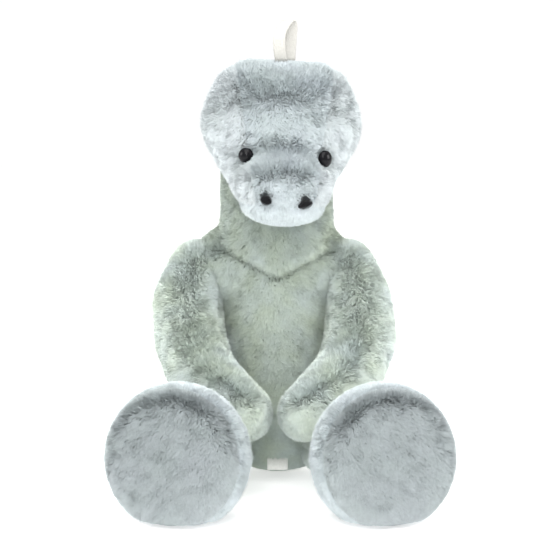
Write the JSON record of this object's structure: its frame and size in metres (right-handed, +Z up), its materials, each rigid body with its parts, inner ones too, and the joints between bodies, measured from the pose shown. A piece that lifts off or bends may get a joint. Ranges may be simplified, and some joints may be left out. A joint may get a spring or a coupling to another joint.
{
  "type": "stuffed dinosaur",
  "caption": "Seated long-necked plush dinosaur with a broad muzzle, long arms, big round feet, a tail and a ribbon hang loop.",
  "frame": {"origin": "on the surface the toy sits on, under its seat, on the plane that parts its left and right halves", "axes": "+Z up, -Y the way the toy faces, +X to the right of a viewer facing it"},
  "size_m": [0.25, 0.3559, 0.357],
  "materials": {
    "pile_sage": "short dense pile",
    "pile_mist": "short dense pile",
    "fibre_fill": "loose fibre",
    "pellet_cloth": "woven",
    "eye_black": "gloss",
    "washer_white": "matte",
    "nose_thread": "satin stitch",
    "ribbon_cream": "satin ribbon",
    "label_satin": "satin",
    "sewing_thread": "thread"
  },
  "bodies": {
    "torso": {"seat_panel": "pile_sage", "front_panel": "pile_sage", "back_panel_left": "pile_sage", "back_panel_right": "pile_sage", "belly_pellet_bag": "pellet_cloth", "torso_stuffing": "fibre_fill", "care_label": "label_satin", "closing_thread": "sewing_thread"},
    "head": {"head_side_left": "pile_sage", "head_side_right": "pile_sage", "head_gusset": "pile_mist", "chin_panel": "pile_mist", "eye_left": "eye_black", "eye_right": "eye_black", "eye_washer_left": "washer_white", "eye_washer_right": "washer_white", "nostril_left": "nose_thread", "nostril_right": "nose_thread", "head_stuffing": "fibre_fill"},
    "hang_loop": {"hang_loop": "ribbon_cream"},
    "arm_left": {"arm_left_top_panel": "pile_sage", "arm_left_under_panel": "pile_sage", "arm_left_stuffing": "fibre_fill"},
    "arm_right": {"arm_right_top_panel": "pile_sage", "arm_right_under_panel": "pile_sage", "arm_right_stuffing": "fibre_fill"},
    "leg_left": {"leg_left_top_panel": "pile_sage", "leg_left_under_panel": "pile_sage", "foot_left_band": "pile_mist", "foot_left_sole": "pile_mist", "leg_left_stuffing": "fibre_fill", "foot_left_pellet_pouch": "pellet_cloth"},
    "leg_right": {"leg_right_top_panel": "pile_sage", "leg_right_under_panel": "pile_sage", "foot_right_band": "pile_mist", "foot_right_sole": "pile_mist", "leg_right_stuffing": "fibre_fill", "foot_right_pellet_pouch": "pellet_cloth"},
    "tail": {"tail_panel_left": "pile_sage", "tail_panel_right": "pile_sage", "tail_stuffing": "fibre_fill"}
  },
  "joints": [
    {"name": "head_nod", "type": "hinge", "parent": "torso", "child": "head", "pos_m": [0, 0.008, 0.235], "axis": [1, 0, 0], "range_deg": [-15, 20]},
    {"name": "hang_loop_flop", "type": "hinge", "parent": "head", "child": "hang_loop", "pos_m": [0.006, -0.006, 0.3361], "axis": [1, 0, 0], "range_deg": [-60, 60]},
    {"name": "arm_left_lift", "type": "hinge", "parent": "torso", "child": "arm_left", "pos_m": [-0.06, 0.005, 0.165], "axis": [-1, 0, 0], "range_deg": [0, 60]},
    {"name": "arm_right_lift", "type": "hinge", "parent": "torso", "child": "arm_right", "pos_m": [0.06, 0.005, 0.165], "axis": [-1, 0, 0], "range_deg": [0, 60]},
    {"name": "leg_left_spread", "type": "hinge", "parent": "torso", "child": "leg_left", "pos_m": [-0.04, -0.02, 0.028], "axis": [0, 0, -1], "range_deg": [0, 30]},
    {"name": "leg_right_spread", "type": "hinge", "parent": "torso", "child": "leg_right", "pos_m": [0.04, -0.02, 0.028], "axis": [0, 0, 1], "range_deg": [0, 30]},
    {"name": "tail_wag", "type": "hinge", "parent": "torso", "child": "tail", "pos_m": [0, 0.058, 0.033], "axis": [0, 0, 1], "range_deg": [-35, 35]}
  ]
}
